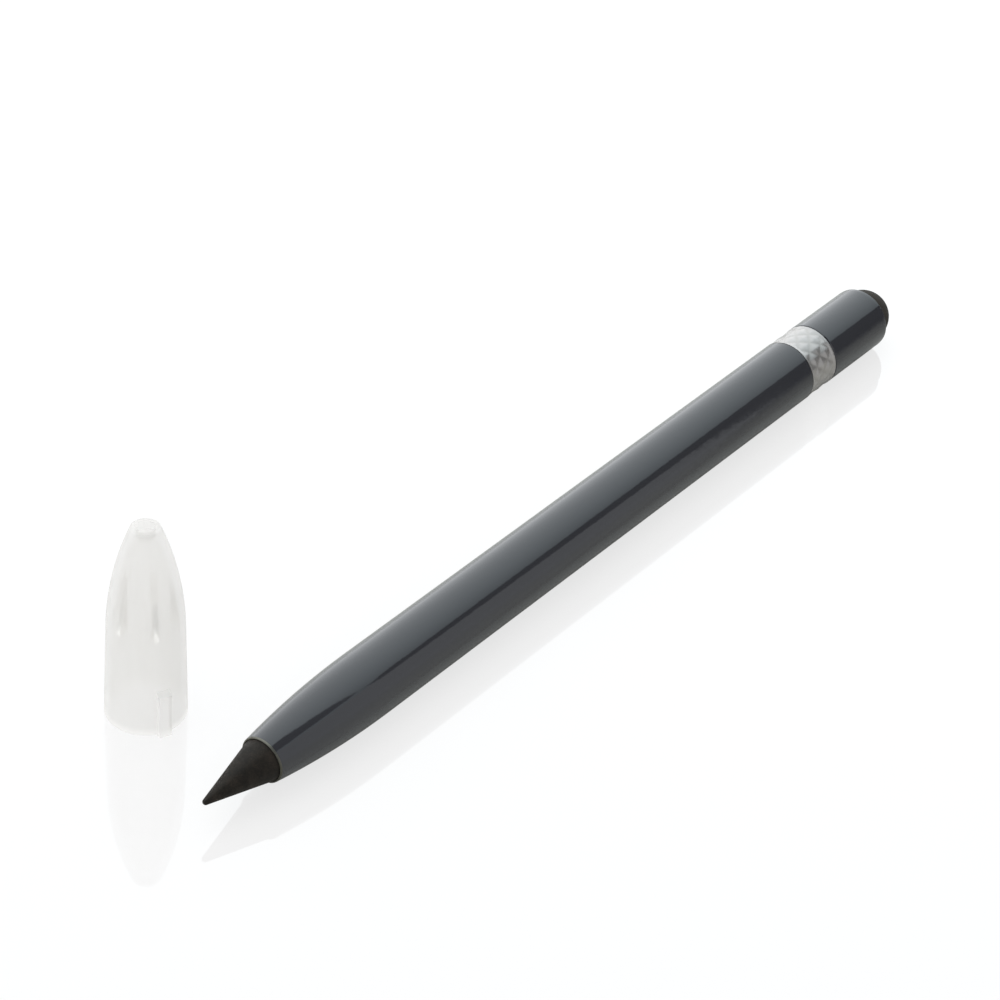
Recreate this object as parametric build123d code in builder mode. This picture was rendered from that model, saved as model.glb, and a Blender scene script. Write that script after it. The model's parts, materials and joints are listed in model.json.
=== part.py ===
from build123d import *
from math import acos, atan2, cos, degrees, hypot, radians, sin, sqrt
import os

# An inkless metal pencil that lies along X, point towards -X, with its cap standing beside it.
# Sizes are in millimetres. Z = 0 is the table, and the origin is under the middle of the whole.

# Barrel, a painted tube with a curved nose
barrel_diameter = 10.0
barrel_length = 122.5
barrel_wall = 0.6
barrel_edge = 0.15
nose_length = 21.5
mouth_diameter = 6.9
mouth_lip = 0.23
mouth_edge = 0.18

# Writing point, the stud in its foot and the holder that the stud screws into
point_length = 11.4
point_tip_radius = 0.45
point_foot = 1.2
stud_diameter = 3.0
stud_in_point = 3.5
stud_in_holder = 8.0
stud_chamfer = 0.4
holder_length = 11.0
holder_lead = 0.5

# Knurled band between the barrel and the tail
band_width = 6.1
band_rim = 0.15
pyramids_across = 2
pyramids_around = 12
pyramid_depth = 0.22
pyramid_turn = 42.0

# Tail tube, and the joiner that carries the band and the tail
tail_length = 14.3
tail_wall = 0.6
tail_edge_length = 1.2
tail_edge_drop = 0.3
groove_width = 0.3
groove_depth = 0.35
joiner_in_barrel = 9.0
joiner_step = 0.5
joiner_bore = 5.0

# Eraser
eraser_depth = 9.0
eraser_proud = 0.55
eraser_chamfer = 0.5

# Cap, moulded, with stop ribs inside and a fin outside that keeps it from rolling
cap_along = 13.37
cap_beside = 22.47
cap_height = 31.15
cap_wall = 0.8
cap_straight = 14.66
cap_draft = 1.27
cap_top_diameter = 4.0
cap_top_round = 0.35
cap_mouth_round = 0.15
cap_roof = 3.5
cap_recess_diameter = 2.7
cap_recess_depth = 1.45
cap_ledge = 16.2
cap_ledge_width = 0.25
rib_count = 5
rib_turn = 25.7
rib_base = 15.1
rib_length = 5.8
rib_width = 0.7
fin_angle = 247.0
fin_width = 1.8
fin_proud = 0.75
fin_height = 6.85
fin_slope = 0.5

# Clearances
press_gap = 0.02
seat_gap = 0.05
point_clearance = 0.05
stud_clearance = 0.05
eraser_clearance = 0.05
cap_clearance = 0.04
rib_clearance = 0.03
tip_clearance = 0.03

# Radii that follow
barrel_radius = barrel_diameter / 2
bore_radius = barrel_radius - barrel_wall
mouth_radius = mouth_diameter / 2
nose_bore_radius = mouth_radius - mouth_lip
stud_radius = stud_diameter / 2
joiner_radius = bore_radius - joiner_step
eraser_bore_radius = barrel_radius - tail_wall
eraser_radius = eraser_bore_radius - eraser_clearance

# Stations along the pencil, measured from the tip of the point
mouth = point_length
point_seat = mouth + point_foot
nose_end = mouth + nose_length
barrel_end = mouth + barrel_length
band_end = barrel_end + band_width
tail_end = band_end + tail_length
eraser_seat = tail_end - eraser_depth
overall_length = tail_end + eraser_proud + eraser_radius


def nose_radius(from_mouth):
    """Outer radius of the curved nose, at a distance from its mouth."""
    drop = barrel_radius - mouth_radius
    arc_radius = (nose_length**2 + drop**2) / (2 * drop)
    to_straight = max(nose_length - from_mouth, 0)
    return barrel_radius - arc_radius + sqrt(arc_radius**2 - to_straight**2)


# The cap is pushed on until the mouth of the nose meets the ribs, and its own mouth then holds the nose
cap_bore_radius = nose_radius(rib_base) + cap_clearance
cap_mouth_radius = cap_bore_radius + cap_wall
cap_waist_radius = cap_mouth_radius - cap_straight * sin(radians(cap_draft))
cap_top_radius = cap_top_diameter / 2
rib_tip_radius = nose_bore_radius + rib_clearance

# The cap's curved top is an arc that leaves the drafted wall smoothly and ends at the top face
arc_normal = Vector(-cos(radians(cap_draft)), -sin(radians(cap_draft)))
arc_chord = Vector(cap_top_radius - cap_waist_radius, cap_height - cap_straight)
cap_arc_radius = arc_chord.length**2 / (2 * arc_chord.dot(arc_normal))
cap_arc_center = Vector(cap_waist_radius, cap_straight) + arc_normal * cap_arc_radius


def cap_radius(height, inset):
    """Radius of the cap's curved top at a height, for the surface that lies inset from the outside."""
    rise = height - cap_arc_center.Y
    return cap_arc_center.X + sqrt((cap_arc_radius - inset) ** 2 - rise**2)


# Places
tip_x = -overall_length / 2
pencil_y = (barrel_radius - cap_beside - cap_mouth_radius) / 2
cap_place = Vector(tip_x + cap_along, pencil_y + cap_beside, 0)
tip_place = Vector(tip_x, pencil_y, barrel_radius)
pencil_axis = Axis(tip_place, (1, 0, 0))
cap_axis = Axis(cap_place, (0, 0, 1))

# Half section of the pencil: first axis along it from the tip, second axis out from its centre line
pencil_section = Plane(tip_place, x_dir=(1, 0, 0), z_dir=(0, -1, 0))


def cap_section(angle):
    """Half section of the cap at an angle round it: first axis outwards, second axis upwards."""
    outwards = Vector(cos(radians(angle)), sin(radians(angle)), 0)
    return Plane(cap_place, x_dir=outwards, z_dir=outwards.cross(Vector(0, 0, 1)))


os.makedirs("parts", exist_ok=True)

# Barrel
with BuildPart() as barrel:
    with BuildSketch(pencil_section):
        with BuildLine():
            TangentArc((nose_end, barrel_radius), (mouth, mouth_radius), tangent=(-1, 0))
            Polyline(
                (nose_end, barrel_radius),
                (barrel_end - barrel_edge, barrel_radius),
                (barrel_end, barrel_radius - barrel_edge),
                (barrel_end, bore_radius),
                (nose_end, bore_radius),
                (nose_end - (bore_radius - nose_bore_radius), nose_bore_radius),
                (mouth, nose_bore_radius),
                (mouth, mouth_radius),
            )
        make_face()
    revolve(axis=pencil_axis)
    mouth_ring = barrel.faces().sort_by(Axis.X)[0]
    fillet(mouth_ring.edges().sort_by(SortBy.RADIUS)[-1], radius=mouth_edge)
barrel.part.label = "barrel"
export_step(barrel.part, "parts/barrel.step")

# Holder, pressed into the nose behind the foot of the point
holder_front = point_seat + seat_gap
with BuildPart() as nib_holder:
    with BuildSketch(pencil_section):
        with BuildLine():
            Polyline(
                (holder_front, stud_radius + stud_clearance + holder_lead),
                (holder_front, nose_bore_radius - press_gap),
                (holder_front + holder_length, nose_bore_radius - press_gap),
                (holder_front + holder_length, stud_radius + stud_clearance),
                (holder_front + holder_lead, stud_radius + stud_clearance),
                close=True,
            )
        make_face()
    revolve(axis=pencil_axis)
nib_holder.part.label = "nib_holder"
export_step(nib_holder.part, "parts/nib_holder.step")

# Stud, one end fixed in the point and the other in the holder
with BuildPart() as nib_stud:
    with BuildSketch(pencil_section):
        with BuildLine():
            Polyline(
                (point_seat - stud_in_point, 0),
                (point_seat - stud_in_point, stud_radius),
                (point_seat + stud_in_holder - stud_chamfer, stud_radius),
                (point_seat + stud_in_holder, stud_radius - stud_chamfer),
                (point_seat + stud_in_holder, 0),
                close=True,
            )
        make_face()
    revolve(axis=pencil_axis)
nib_stud.part.label = "nib_stud"
export_step(nib_stud.part, "parts/nib_stud.step")

# Writing point, a cone with a rounded tip and a short foot that sits inside the mouth
foot_radius = nose_bore_radius - point_clearance
tip_to_mouth = mouth - point_tip_radius
cone_angle = acos(point_tip_radius / hypot(foot_radius, tip_to_mouth)) - atan2(tip_to_mouth, foot_radius)
with BuildPart() as nib_cone:
    with BuildSketch(pencil_section):
        with BuildLine():
            tip_arc = CenterArc((point_tip_radius, 0), point_tip_radius, 180, degrees(cone_angle) - 90)
            Polyline(
                tip_arc @ 1,
                (mouth, foot_radius),
                (point_seat, foot_radius),
                (point_seat, stud_radius + press_gap),
                (point_seat - stud_in_point - seat_gap, stud_radius + press_gap),
                (point_seat - stud_in_point - seat_gap, 0),
                tip_arc @ 0,
            )
        make_face()
    revolve(axis=pencil_axis)
nib_cone.part.label = "nib_cone"
export_step(nib_cone.part, "parts/nib_cone.step")

# Joiner, a stepped bush with one end in the barrel and the band and tail on the other
with BuildPart() as tail_joiner:
    with BuildSketch(pencil_section):
        with BuildLine():
            Polyline(
                (barrel_end - joiner_in_barrel, joiner_bore / 2),
                (barrel_end - joiner_in_barrel, bore_radius - press_gap),
                (barrel_end, bore_radius - press_gap),
                (barrel_end, joiner_radius),
                (eraser_seat - seat_gap, joiner_radius),
                (eraser_seat - seat_gap, joiner_bore / 2),
                close=True,
            )
        make_face()
    revolve(axis=pencil_axis)
tail_joiner.part.label = "tail_joiner"
export_step(tail_joiner.part, "parts/tail_joiner.step")

# Band: staggered rows of four-sided pyramids between two thin rims
pattern_start = barrel_end + band_rim
pyramid_pitch = (band_width - 2 * band_rim) / pyramids_across
row_turn = 180 / pyramids_around
tip_radius = barrel_radius - tip_clearance
valley_radius = tip_radius - pyramid_depth


def band_point(columns, rows, radius):
    """Point on the band, counted in pyramids along it and in rows round it."""
    turn = radians(pyramid_turn + rows * row_turn)
    along = pattern_start + columns * pyramid_pitch
    return pencil_section.from_local_coords((along, radius * sin(turn), radius * cos(turn)))


def pyramid_facets(column, row):
    """Triangular facets of the pyramid centred there, without those that lie past the rims."""
    tip = band_point(column, row, tip_radius)
    facets = []
    for side in (-0.5, 0.5):
        if not 0 <= column + side <= pyramids_across:
            continue
        foot = band_point(column + side, row, valley_radius)
        for turn in (-1, 1):
            corner = band_point(column, row + turn, valley_radius)
            facets.append(Face(Wire.make_polygon([tip, foot, corner])))
    return facets


def band_end_face(column):
    """Face that closes an end of the pattern, where tips and valleys take turns."""
    rows = range(2 * pyramids_around)
    rim = [band_point(column, row, tip_radius if row % 2 else valley_radius) for row in rows]
    return Face(Wire.make_polygon(rim))


band_faces = [band_end_face(0), band_end_face(pyramids_across)]
for row in range(2 * pyramids_around):
    first = 0 if row % 2 else 0.5
    for step in range(pyramids_across + row % 2):
        band_faces += pyramid_facets(first + step, row)
pyramids = Solid(Shell(band_faces))

with BuildPart() as knurled_band:
    add(pyramids)
    with BuildSketch(pencil_section):
        for rim_start in (barrel_end, band_end - band_rim):
            with Locations((rim_start, 0)):
                Rectangle(band_rim, barrel_radius, align=Align.MIN)
    revolve(axis=pencil_axis)
    with BuildSketch(pencil_section):
        with Locations((barrel_end, 0)):
            Rectangle(band_width, joiner_radius + press_gap, align=Align.MIN)
    revolve(axis=pencil_axis, mode=Mode.SUBTRACT)
knurled_band.part.label = "knurled_band"
export_step(knurled_band.part, "parts/knurled_band.step")

# Tail tube, with a narrow groove beside the band and a rolled rear edge
with BuildPart() as tail_tube:
    with BuildSketch(pencil_section):
        with BuildLine():
            Polyline(
                (tail_end, barrel_radius - tail_edge_drop),
                (tail_end, eraser_bore_radius),
                (eraser_seat, eraser_bore_radius),
                (eraser_seat, joiner_radius + press_gap),
                (band_end, joiner_radius + press_gap),
                (band_end, barrel_radius - groove_depth),
                (band_end + groove_width, barrel_radius - groove_depth),
                (band_end + groove_width, barrel_radius - barrel_edge),
                (band_end + groove_width + barrel_edge, barrel_radius),
                (tail_end - tail_edge_length, barrel_radius),
            )
            TangentArc(
                (tail_end - tail_edge_length, barrel_radius),
                (tail_end, barrel_radius - tail_edge_drop),
                tangent=(1, 0),
            )
        make_face()
    revolve(axis=pencil_axis)
tail_tube.part.label = "tail_tube"
export_step(tail_tube.part, "parts/tail_tube.step")

# Eraser, a plug with a round end
with BuildPart() as eraser:
    with BuildSketch(pencil_section):
        with BuildLine():
            dome = CenterArc((tail_end + eraser_proud, 0), eraser_radius, 90, -90)
            Polyline(
                dome @ 1,
                (eraser_seat + seat_gap, 0),
                (eraser_seat + seat_gap, eraser_radius - eraser_chamfer),
                (eraser_seat + seat_gap + eraser_chamfer, eraser_radius),
                dome @ 0,
            )
        make_face()
    revolve(axis=pencil_axis)
eraser.part.label = "eraser"
export_step(eraser.part, "parts/eraser.step")

# Cap, closed at the top by a thick roof with a shallow round recess in it
roof_height = cap_height - cap_roof
recess_radius = cap_recess_diameter / 2
recess_floor = cap_height - cap_recess_depth
cavity_inset = cap_wall + cap_ledge_width
cavity_middle = (roof_height + cap_ledge) / 2
rib_top = rib_base + rib_length
rib_root = cap_wall / 2
with BuildPart() as cap:
    with BuildSketch(cap_section(0)):
        with BuildLine():
            cavity = ThreePointArc(
                (cap_radius(roof_height, cavity_inset), roof_height),
                (cap_radius(cavity_middle, cavity_inset), cavity_middle),
                (cap_radius(cap_ledge, cavity_inset), cap_ledge),
            )
            Polyline(
                (cap_top_radius, cap_height),
                (recess_radius, cap_height),
                (recess_radius, recess_floor),
                (0, recess_floor),
                (0, roof_height),
                cavity @ 0,
            )
            Polyline(
                cavity @ 1,
                (cap_radius(cap_ledge, cap_wall), cap_ledge),
                (cap_bore_radius, 0),
                (cap_mouth_radius, 0),
                (cap_waist_radius, cap_straight),
            )
            TangentArc(
                (cap_waist_radius, cap_straight),
                (cap_top_radius, cap_height),
                tangent=(-sin(radians(cap_draft)), cos(radians(cap_draft))),
            )
        make_face()
    revolve(axis=cap_axis)
    top_face = cap.faces().sort_by(Axis.Z)[-1]
    fillet(top_face.edges().sort_by(SortBy.RADIUS)[-1], radius=cap_top_round)
    mouth_face = cap.faces().sort_by(Axis.Z)[0]
    fillet(mouth_face.edges(), radius=cap_mouth_round)
    for rib in range(rib_count):
        with BuildSketch(cap_section(rib_turn + rib * 360 / rib_count)):
            with BuildLine():
                Polyline(
                    (rib_tip_radius, rib_base),
                    (cap_radius(rib_base, rib_root), rib_base),
                    (cap_radius(rib_top, rib_root), rib_top),
                    (rib_tip_radius, rib_top),
                    close=True,
                )
            make_face()
    extrude(amount=rib_width / 2, both=True)
    with BuildSketch(cap_section(fin_angle)):
        with BuildLine():
            Polyline(
                (cap_mouth_radius - cap_wall / 2, 0),
                (cap_mouth_radius + fin_proud, 0),
                (cap_mouth_radius + fin_proud, fin_height),
                (cap_mouth_radius - cap_wall / 2, fin_height + fin_slope),
                close=True,
            )
        make_face()
    extrude(amount=fin_width / 2, both=True)
cap.part.label = "cap"
export_step(cap.part, "parts/cap.step")
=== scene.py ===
import json
from math import acos, atan2, cos, hypot, pi, radians, sin, sqrt, tau

import bmesh
import bpy
from bpy.props import FloatProperty, FloatVectorProperty, IntProperty, PointerProperty
from bpy.types import Operator, Panel, PropertyGroup
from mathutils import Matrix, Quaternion, Vector


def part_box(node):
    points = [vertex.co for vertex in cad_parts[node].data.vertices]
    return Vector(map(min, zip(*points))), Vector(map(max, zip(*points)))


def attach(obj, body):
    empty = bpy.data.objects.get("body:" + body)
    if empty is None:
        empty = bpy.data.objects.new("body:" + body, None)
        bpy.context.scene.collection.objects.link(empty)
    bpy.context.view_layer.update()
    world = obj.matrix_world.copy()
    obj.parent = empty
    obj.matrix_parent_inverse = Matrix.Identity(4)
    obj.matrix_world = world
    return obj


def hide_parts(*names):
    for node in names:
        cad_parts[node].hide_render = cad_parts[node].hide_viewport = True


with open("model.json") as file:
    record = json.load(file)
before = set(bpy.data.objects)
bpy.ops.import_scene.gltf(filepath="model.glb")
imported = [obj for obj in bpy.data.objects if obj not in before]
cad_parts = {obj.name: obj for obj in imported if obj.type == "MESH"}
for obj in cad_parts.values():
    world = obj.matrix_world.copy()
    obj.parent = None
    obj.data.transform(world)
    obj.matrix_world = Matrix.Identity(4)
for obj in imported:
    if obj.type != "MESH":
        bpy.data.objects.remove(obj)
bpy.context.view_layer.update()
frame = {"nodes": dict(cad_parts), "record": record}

bl_info = {
    "name": "Inkless metal pencil",
    "version": (1, 0, 0),
    "blender": (4, 5, 0),
    "location": "View3D > Sidebar > Pencil",
    "description": "Dresses the packed model of an inkless metal pencil and its cap",
    "category": "Object",
}

# Everything is in metres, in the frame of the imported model: the pencil lies along X with its point
# towards -X, its cap stands beside it towards +Y, and Z = 0 is the table.
MM = 0.001

# The barrel's grip mount lies on the pencil's centre line
GRIP = next(mount for mount in frame["record"]["mounts"] if mount["name"] == "barrel_grip")
AXIS = Vector(GRIP["pos_m"])

# Faces round a turned piece, and steps along a long or a short round stretch of its outline, along
# one turn of a thread and along one pyramid
AROUND = 192
ARC_STEPS = 40
EDGE_STEPS = 6
THREAD_STEPS = 10
PYRAMID_STEPS = 24

# Angles between faces from which an edge is drawn sharp, or gets a rounding
SHARP_ANGLE = radians(30)
SOFTENED_ANGLE = radians(25)

# Length of one band of a wave texture at scale 1
WAVE_BAND = pi / 10


def ends(node):
    """Front and rear end, along the pencil, of a CAD node."""
    low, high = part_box(node)
    return low.x, high.x


def outer_radius(node):
    """Largest radius of a turned CAD node."""
    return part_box(node)[1].z - AXIS.z


# Settings


def linear(hex_colour):
    """Linear RGBA of an sRGB hex colour."""
    channels = [int(hex_colour[start:start + 2], 16) / 255 for start in (1, 3, 5)]
    return [c / 12.92 if c <= 0.04045 else ((c + 0.055) / 1.055) ** 2.4 for c in channels] + [1.0]


def colour(name, description, hex_colour):
    """Colour setting, written as an sRGB hex value."""
    return FloatVectorProperty(
        name=name,
        description=description,
        default=linear(hex_colour),
        size=4,
        min=0,
        max=1,
        subtype="COLOR",
    )


def length(name, description, millimetres):
    """Length setting, written in millimetres."""
    return FloatProperty(
        name=name,
        description=description,
        default=millimetres * MM,
        min=0,
        precision=5,
        unit="LENGTH",
    )


def share(name, description, default):
    """Setting from 0 to 1."""
    return FloatProperty(
        name=name, description=description, default=default, min=0, max=1, subtype="FACTOR"
    )


def bearing(name, description, degrees):
    """Angle setting, written in degrees."""
    return FloatProperty(
        name=name, description=description, default=radians(degrees), subtype="ANGLE"
    )


def spot(name, description, metres):
    """Setting of a place in the scene."""
    return FloatVectorProperty(
        name=name, description=description, default=metres, subtype="TRANSLATION", unit="LENGTH"
    )


class TubeSettings(PropertyGroup):
    """Sizes and finish of the two painted tubes."""

    nose_length: length("Nose length", "Length of the curved nose of the barrel", 21.5)
    mouth_diameter: length("Mouth diameter", "Outer diameter at the mouth of the nose", 6.9)
    mouth_lip: length("Mouth lip", "Bare edge of the tube at the mouth", 0.23)
    mouth_edge: length("Mouth edge", "Rounding of the bare edge", 0.18)
    mouth_bare: length("Mouth ring", "Bare ring on the outside, behind the rounding", 0.1)
    wall: length("Wall", "Wall of both tubes", 0.6)
    front_edge: length("Cut edge", "Chamfer where a tube meets the band", 0.15)
    groove_width: length("Groove width", "Width of the groove behind the band", 0.18)
    groove_depth: length("Groove depth", "Depth of the groove behind the band", 0.25)
    rear_edge_length: length("Rear edge length", "Length of the rolled rear edge", 0.7)
    rear_edge_drop: length("Rear edge drop", "How far the rear edge is rolled in", 0.05)
    softness: length("Edge softness", "Rounding that the lacquer leaves on an edge", 0.04)
    paint: colour("Lacquer", "Colour of the lacquer", "#2F3034")
    paint_light: colour("Lacquer, thin", "Colour where the lacquer lies a little thinner", "#333438")
    bare: colour("Bare metal", "Colour of the bare aluminium inside and at the lip", "#605E57")
    gloss: share("Lacquer roughness", "Roughness of the lacquer", 0.07)


class FitSettings(PropertyGroup):
    """Gaps between pieces that fit together."""

    press_gap: length("Press gap", "Gap of a press fit", 0.02)
    seat_gap: length("Seat gap", "Gap behind a piece that is pushed home", 0.05)
    stud_clearance: length("Stud clearance", "Gap round the stud in the bush", 0.05)
    joiner_step: length("Joiner step", "How far the joiner steps in from the bore of the barrel", 0.5)


class PointSettings(PropertyGroup):
    """Sizes and finish of the writing point, its stud and its bush."""

    tip_radius: length("Tip radius", "Rounding of the writing tip", 0.45)
    foot: length("Foot", "Length of the foot that sits inside the mouth", 1.2)
    stud_chamfer: length("Stud chamfer", "Lead at the end of the stud", 0.4)
    thread_pitch: length("Thread pitch", "Rise of the thread in one turn", 0.5)
    thread_depth: length("Thread depth", "Depth of the thread", 0.25)
    bush_lead: length("Bush lead", "Lead at the mouth of the screw hole", 0.5)
    softness: length("Edge softness", "Rounding of turned edges", 0.05)
    graphite: colour("Graphite", "Ground colour of the writing point", "#16130F")
    graphite_grain: colour("Graphite grain", "Colour of the brighter grains", "#2D2721")
    steel: colour("Steel", "Colour of the stud", "#A3A6A8")
    brass: colour("Brass", "Colour of the bush and the joiner", "#C9A65E")


class BandSettings(PropertyGroup):
    """Sizes and finish of the knurled band."""

    rim: length("Rim", "Width of the plain rim at each end", 0.15)
    run_out: length("Run-out", "Length over which the pyramids run out at each rim", 0.35)
    tip_clearance: length("Tip clearance", "How far the pyramids stay under the rims", 0.005)
    depth: length("Depth", "Height of the pyramids", 0.13)
    across: IntProperty(name="Across", description="Pyramids across the band", default=2, min=1)
    around: IntProperty(name="Around", description="Pyramids in a row round the band", default=12, min=3)
    turn: bearing("Turn", "Angle of the first row, from the side towards the camera", 42)
    metal: colour("Aluminium", "Colour of the satin aluminium", "#A5A2A0")
    # Painted shade: a darker colour at the foot of the pyramids, where shade falls between them
    painted_valley_shade: colour("Valleys", "Colour at the foot of the pyramids", "#9C9996")
    gloss: share("Roughness", "Roughness of the satin aluminium", 0.3)


class EraserSettings(PropertyGroup):
    """Sizes and finish of the eraser."""

    chamfer: length("Chamfer", "Lead at the inner end", 0.5)
    seam: length("Seam", "Gap between the domed end and the rim of the tube", 0.16)
    seam_depth: length("Seam depth", "How far the gap goes down into the tube", 0.5)
    softness: length("Edge softness", "Rounding of the moulded edges", 0.08)
    rubber: colour("Rubber", "Ground colour of the rubber", "#2A2825")
    rubber_worn: colour("Rubber, worn", "Colour where the skin of the rubber is rubbed", "#3A3631")


class CapSettings(PropertyGroup):
    """Places of the forms on the cap, and its finish."""

    margin: length("Margin", "How near a face is to a form that it belongs to", 0.15)
    fin_top: length("Fin top", "Height of the lowest edge of the fin's top", 6.85)
    rib_base: length("Rib base", "Height of the lower ends of the ribs", 15.1)
    rib_length: length("Rib length", "Length of the ribs", 5.8)
    rib_reach: length("Rib reach", "Distance of the ribs from the middle of the cap", 3.25)
    recess_depth: length("Recess depth", "Depth of the recess in the top", 1.45)
    plastic: colour("Plastic", "Colour of the wall", "#F8F7F5")
    # Painted shade: the greyer colour that the ribs, the recess and the fin's top take, for the shade in
    # thick plastic
    thick_plastic_shade: colour("Plastic, thick", "Colour where the moulding is thick", "#E9E9E7")
    frost: share("Frost", "Roughness of the moulded surface", 0.3)
    skin: share("Skin", "Share of the view that the outside throws back", 0.33)
    body: share("Body", "Share of the view that the inside throws back: how milky the wall is", 0.1)
    body_thick: share("Body, thick", "Share of the view that thick forms throw back", 0.7)
    through: share("Through", "Share of the light that each surface scatters to its other side", 0.25)
    # Painted glow: emission at the foot of the wall and at the ribs' lower ends, for light that runs
    # down inside the plastic
    painted_foot_glow: share("Foot glow", "Light that runs down the wall and leaves at its foot", 0.35)
    painted_rib_glow: share("Rib glow", "Light that runs down a rib and leaves at its lower end", 0.65)
    glow_reach: length("Glow reach", "How far up from a lower end that light shows", 1.3)


class StudioSettings(PropertyGroup):
    """Floor, light and camera."""

    floor_reach: length("Floor reach", "How far the floor reaches each way", 4000)
    floor_gap: length("Floor gap", "Gap under the object, so that no faces coincide", 0.02)
    floor: colour("Floor", "Colour of the floor", "#F2F2F2")
    # Painted shade: the floor takes this greyer colour only in mirror images, as a table away from the
    # lamps
    floor_mirrored_shade: colour("Floor, mirrored", "Colour of the floor in mirror images", "#CFD1CB")
    floor_shade: colour("Floor shade", "Part of the floor's white that shadows darken", "#727272")
    floor_glow: share("Floor glow", "Part of the floor's white that stays even", 0.735)
    front: share("Room, front", "Brightness of the room in front of the pencil, in mirror images", 0.79)
    gap: share("Gap", "Brightness of the dark gap between softbox and front, in mirror images", 0.05)
    softbox_back: colour("Softbox, back", "Colour of the softbox low behind the pencil", "#F9FCFF")
    softbox_front: colour("Softbox, front", "Colour of the softbox along its front edge", "#E8F9FF")
    softbox: FloatProperty(
        name="Softbox",
        description="Brightness of the softbox over and behind the pencil",
        default=2.36,
        min=0,
    )
    softbox_edge: bearing(
        "Softbox edge", "Angle round the pencil, up from the back, where the softbox has faded out", 139
    )
    softbox_fade: FloatProperty(
        name="Softbox fade",
        description="How late the softbox fades: 1 fades evenly, more keeps it bright for longer",
        default=2.9,
        min=1,
    )
    room: share("Room", "Light of the room on matt surfaces", 0.85)
    key_power: FloatProperty(
        name="Key light", description="Power of the lamp overhead", default=5.0, min=0, unit="POWER"
    )
    key_size: length("Key size", "Side of the lamp overhead", 1200)
    key_place: spot("Key place", "Place of the lamp overhead", (-0.2, 0.3, 1.3))
    camera_place: spot(
        "Camera place", "Place of the camera", (-341.35 * MM, AXIS.y - 232.60 * MM, 316.87 * MM)
    )
    camera_aim: spot(
        "Camera aim",
        "Point on the table that the camera looks at",
        (3.80 * MM, AXIS.y + 16.21 * MM, 0),
    )
    camera_roll: bearing("Camera roll", "Tilt of the camera", 4.085)
    camera_lens: FloatProperty(
        name="Camera lens", description="Focal length", default=129.07, unit="CAMERA"
    )


class PencilSettings(PropertyGroup):
    """All settings of the pencil."""

    tubes: PointerProperty(type=TubeSettings)
    fits: PointerProperty(type=FitSettings)
    point: PointerProperty(type=PointSettings)
    band: PointerProperty(type=BandSettings)
    eraser: PointerProperty(type=EraserSettings)
    cap: PointerProperty(type=CapSettings)
    studio: PointerProperty(type=StudioSettings)


# Meshes


def arc(centre, radius, first, last, steps=ARC_STEPS):
    """Points of an arc in an outline, from one angle to another."""
    x, height = centre
    angles = [first + (last - first) * step / steps for step in range(steps + 1)]
    return [(x + radius * cos(angle), height + radius * sin(angle)) for angle in angles]


def turned_piece(name, outline, materials, coated=None, relief=None):
    """Piece turned round the pencil's axis from a closed outline of (x, radius) points.

    The first coated stretches of the outline take the first material, and the rest the second.
    A relief gives the radius at a point of the outline and an angle round the axis, for a surface
    that isn't round. The angle is 0 on the side towards -Y and a quarter turn on top.
    """
    builder = bmesh.new()
    rings = []
    for x, radius in outline:
        if radius == 0:
            rings.append([builder.verts.new((x, AXIS.y, AXIS.z))])
            continue
        ring = []
        for step in range(AROUND):
            turn = tau * step / AROUND
            reach = relief(x, radius, turn) if relief else radius
            ring.append(builder.verts.new((x, AXIS.y - reach * cos(turn), AXIS.z + reach * sin(turn))))
        rings.append(ring)
    for index, ring in enumerate(rings):
        following = rings[(index + 1) % len(rings)]
        for step in range(AROUND):
            here, there = step, (step + 1) % AROUND
            corners = [ring[here % len(ring)], ring[there % len(ring)]]
            corners += [following[there % len(following)], following[here % len(following)]]
            corners = list(dict.fromkeys(corners))
            if len(corners) < 3:
                continue
            face = builder.faces.new(corners)
            face.smooth = True
            face.material_index = 0 if coated is None or index < coated else 1
    bmesh.ops.recalc_face_normals(builder, faces=builder.faces)
    mesh = bpy.data.meshes.new(name)
    builder.to_mesh(mesh)
    builder.free()
    mesh.set_sharp_from_angle(angle=SHARP_ANGLE)
    for material in materials:
        mesh.materials.append(material)
    piece = bpy.data.objects.new(name, mesh)
    bpy.context.scene.collection.objects.link(piece)
    return piece


def soften(piece, width):
    """Rounds the edges of a turned piece, so that they catch the light."""
    bevel = piece.modifiers.new("Soft edges", "BEVEL")
    bevel.width = width
    bevel.segments = 3
    bevel.limit_method = "ANGLE"
    bevel.angle_limit = SOFTENED_ANGLE
    normals = piece.modifiers.new("Even normals", "WEIGHTED_NORMAL")
    normals.keep_sharp = True


def dress(piece, body, node):
    """Lets a piece stand for a CAD node, on its body."""
    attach(piece, body)
    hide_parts(node)


def sleeve_bore(fits):
    """Inner radius of the band and the tail tube, which sit on the step of the joiner."""
    joiner = outer_radius("tail_joiner") + fits.press_gap - fits.joiner_step
    return joiner + fits.press_gap


def coat(node, material):
    """Gives a CAD node that keeps its own mesh a better material."""
    slots = frame["nodes"][node].material_slots
    for slot in slots:
        slot.material = material


# Materials


def add_node(tree, kind, values=None, links=None, **settings):
    """Adds a node with its settings, the values of its sockets and the links into them."""
    node = tree.nodes.new(kind)
    for name, value in settings.items():
        setattr(node, name, value)
    for socket, value in (values or {}).items():
        node.inputs[socket].default_value = value
    for socket, source in (links or {}).items():
        tree.links.new(source, node.inputs[socket])
    return node


def new_material(name):
    """Material and its empty node tree."""
    material = bpy.data.materials.new(name)
    material.use_nodes = True
    material.node_tree.nodes.clear()
    return material, material.node_tree


def per_metre(millimetres):
    """Texture scale at which one cell of a pattern is that many millimetres."""
    return 1 / (millimetres * MM)


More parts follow.
